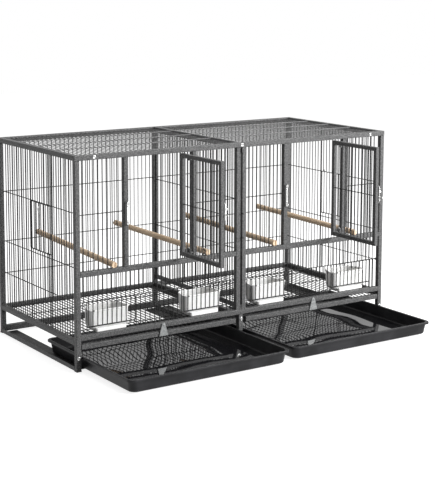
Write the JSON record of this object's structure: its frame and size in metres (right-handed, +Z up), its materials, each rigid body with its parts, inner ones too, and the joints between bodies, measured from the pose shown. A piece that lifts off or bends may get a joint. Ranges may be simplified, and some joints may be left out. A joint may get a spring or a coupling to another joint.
{
  "type": "double bird cage",
  "caption": "Rectangular wire bird cage in a square-tube frame, with a sliding divider, hinged doors, feeder cups, perches, slide-out grates and plastic trays.",
  "frame": {"origin": "on the floor, at the middle of the box around the cage with its trays drawn out", "axes": "+Z up, +X along the cage's length to the right as seen from the front, +Y from the front with its doors and trays to the back"},
  "size_m": [0.945, 0.656, 0.517],
  "materials": {
    "hammered_grey": "grey hammered powder coat, slightly speckled",
    "zinc_plate": "bright zinc plate on small latches and clips",
    "black_tray_plastic": "glossy black moulded plastic",
    "white_cup_plastic": "smooth white moulded plastic",
    "pale_wood": "bare turned hardwood dowel",
    "grey_catch": "smooth mid-grey enamel"
  },
  "bodies": {
    "cage_frame": {"back_bottom_rail": "hammered_grey", "back_centre_leg": "hammered_grey", "back_centre_post": "hammered_grey", "back_floor_rail": "hammered_grey", "back_panel_left": "hammered_grey", "back_panel_right": "hammered_grey", "centre_floor_rail": "hammered_grey", "centre_tray_rail": "hammered_grey", "corner_post_back_left": "hammered_grey", "corner_post_back_right": "hammered_grey", "corner_post_front_left": "hammered_grey", "corner_post_front_right": "hammered_grey", "feeder_grille_left": "hammered_grey", "feeder_grille_right": "hammered_grey", "front_centre_leg": "hammered_grey", "front_centre_post_left": "hammered_grey", "front_centre_post_right": "hammered_grey", "front_floor_rail": "hammered_grey", "hinge_grille_left": "hammered_grey", "hinge_grille_right": "hammered_grey", "keeper_left": "zinc_plate", "keeper_right": "zinc_plate", "latch_grille_left": "hammered_grey", "latch_grille_right": "hammered_grey", "left_floor_rail": "hammered_grey", "left_tray_rail": "hammered_grey", "mid_rail_left": "hammered_grey", "mid_rail_right": "hammered_grey", "perch_left_inner": "pale_wood", "perch_left_outer": "pale_wood", "perch_right_inner": "pale_wood", "perch_right_outer": "pale_wood", "right_floor_rail": "hammered_grey", "right_tray_rail": "hammered_grey", "side_panel_left": "hammered_grey", "side_panel_right": "hammered_grey", "top_panel": "hammered_grey"},
    "door_left": {"door_left": "hammered_grey"},
    "door_latch_left": {"door_latch_left": "zinc_plate"},
    "nest_door_left": {"nest_door_left": "hammered_grey", "nest_clip_left": "zinc_plate"},
    "grate_left": {"grate_left": "hammered_grey"},
    "grate_catch_left": {"grate_catch_left": "grey_catch"},
    "tray_left": {"tray_left": "black_tray_plastic"},
    "feeder_door_left_outer": {"feeder_door_left_outer": "hammered_grey"},
    "cup_left_outer": {"cup_left_outer": "white_cup_plastic"},
    "feeder_door_left_inner": {"feeder_door_left_inner": "hammered_grey"},
    "cup_left_inner": {"cup_left_inner": "white_cup_plastic"},
    "door_right": {"door_right": "hammered_grey"},
    "door_latch_right": {"door_latch_right": "zinc_plate"},
    "nest_door_right": {"nest_door_right": "hammered_grey", "nest_clip_right": "zinc_plate"},
    "grate_right": {"grate_right": "hammered_grey"},
    "grate_catch_right": {"grate_catch_right": "grey_catch"},
    "tray_right": {"tray_right": "black_tray_plastic"},
    "feeder_door_right_outer": {"feeder_door_right_outer": "hammered_grey"},
    "cup_right_outer": {"cup_right_outer": "white_cup_plastic"},
    "feeder_door_right_inner": {"feeder_door_right_inner": "hammered_grey"},
    "cup_right_inner": {"cup_right_inner": "white_cup_plastic"},
    "divider": {"divider": "hammered_grey"}
  },
  "joints": [
    {"name": "door_left_hinge", "type": "hinge", "parent": "cage_frame", "child": "door_left", "pos_m": [-0.1615, -0.11, 0.253], "axis": [0, 0, 1], "range_deg": [-90, 65]},
    {"name": "door_latch_left_lift", "type": "slide", "parent": "door_left", "child": "door_latch_left", "axis": [0, 0, 1], "range_m": [0, 0.008]},
    {"name": "nest_door_left_lift", "type": "slide", "parent": "cage_frame", "child": "nest_door_left", "axis": [0, 0, 1], "range_m": [0, 0.115]},
    {"name": "grate_left_slide", "type": "slide", "parent": "cage_frame", "child": "grate_left", "axis": [0, -1, 0], "range_m": [0, 0.4]},
    {"name": "grate_catch_left_turn", "type": "hinge", "parent": "grate_left", "child": "grate_catch_left", "pos_m": [-0.23308, -0.1023, 0.0585], "axis": [0, 1, 0], "range_deg": [-90, 90]},
    {"name": "tray_left_slide", "type": "slide", "parent": "cage_frame", "child": "tray_left", "axis": [0, 1, 0], "range_m": [0, 0.2225]},
    {"name": "feeder_door_left_outer_lift", "type": "slide", "parent": "cage_frame", "child": "feeder_door_left_outer", "axis": [0, 0, 1], "range_m": [0, 0.055]},
    {"name": "cup_left_outer_slide", "type": "slide", "parent": "cage_frame", "child": "cup_left_outer", "axis": [0, 1, 0], "range_m": [0, 0.05]},
    {"name": "feeder_door_left_inner_lift", "type": "slide", "parent": "cage_frame", "child": "feeder_door_left_inner", "axis": [0, 0, 1], "range_m": [0, 0.055]},
    {"name": "cup_left_inner_slide", "type": "slide", "parent": "cage_frame", "child": "cup_left_inner", "axis": [0, 1, 0], "range_m": [0, 0.05]},
    {"name": "door_right_hinge", "type": "hinge", "parent": "cage_frame", "child": "door_right", "pos_m": [0.3135, -0.11, 0.253], "axis": [0, 0, 1], "range_deg": [-90, 90]},
    {"name": "door_latch_right_lift", "type": "slide", "parent": "door_right", "child": "door_latch_right", "axis": [0, 0, 1], "range_m": [0, 0.008]},
    {"name": "nest_door_right_lift", "type": "slide", "parent": "cage_frame", "child": "nest_door_right", "axis": [0, 0, 1], "range_m": [0, 0.115]},
    {"name": "grate_right_slide", "type": "slide", "parent": "cage_frame", "child": "grate_right", "axis": [0, -1, 0], "range_m": [0, 0.4]},
    {"name": "grate_catch_right_turn", "type": "hinge", "parent": "grate_right", "child": "grate_catch_right", "pos_m": [0.23308, -0.1023, 0.0585], "axis": [0, 1, 0], "range_deg": [-90, 90]},
    {"name": "tray_right_slide", "type": "slide", "parent": "cage_frame", "child": "tray_right", "axis": [0, 1, 0], "range_m": [0, 0.2125]},
    {"name": "feeder_door_right_outer_lift", "type": "slide", "parent": "cage_frame", "child": "feeder_door_right_outer", "axis": [0, 0, 1], "range_m": [0, 0.055]},
    {"name": "cup_right_outer_slide", "type": "slide", "parent": "cage_frame", "child": "cup_right_outer", "axis": [0, 1, 0], "range_m": [0, 0.05]},
    {"name": "feeder_door_right_inner_lift", "type": "slide", "parent": "cage_frame", "child": "feeder_door_right_inner", "axis": [0, 0, 1], "range_m": [0, 0.055]},
    {"name": "cup_right_inner_slide", "type": "slide", "parent": "cage_frame", "child": "cup_right_inner", "axis": [0, 1, 0], "range_m": [0, 0.05]},
    {"name": "divider_slide", "type": "slide", "parent": "cage_frame", "child": "divider", "axis": [0, -1, 0], "range_m": [0, 0.42]}
  ]
}
